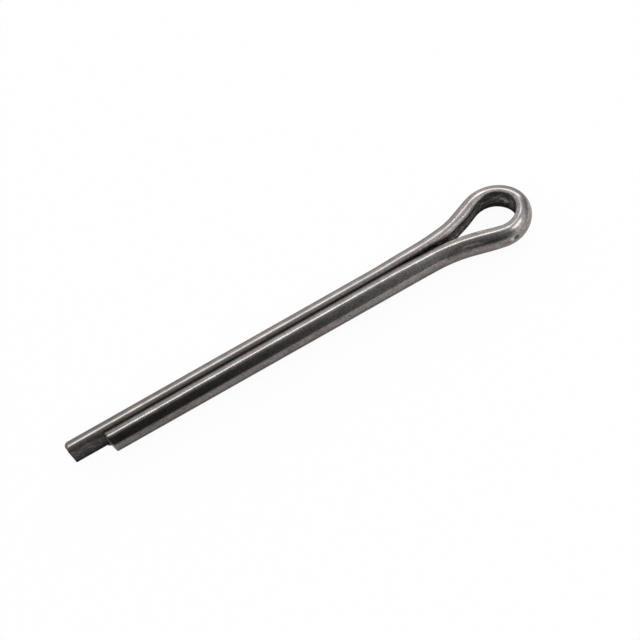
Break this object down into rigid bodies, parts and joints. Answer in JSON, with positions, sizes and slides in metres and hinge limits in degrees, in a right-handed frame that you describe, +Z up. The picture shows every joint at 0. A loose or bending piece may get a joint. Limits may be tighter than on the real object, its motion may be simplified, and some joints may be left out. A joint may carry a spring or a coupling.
{
  "type": "cotter pin",
  "caption": "Folded half-round steel wire pin with an open teardrop eye and prongs of unequal length, pushed through a cross hole and spread to lock it.",
  "frame": {"origin": "middle of the whole pin's underside, on the surface it lies on", "axes": "+X along the shank towards the eye, +Y towards the long prong's side, +Z up, square to the plane of the eye"},
  "size_m": [0.0892, 0.0116, 0.0055],
  "materials": {
    "steel_wire": "bare drawn steel wire, darkened, with polished lines along its edges, a mottled flat side and small pits"
  },
  "bodies": {
    "root": {"cotter_pin": "steel_wire"}
  },
  "joints": []
}
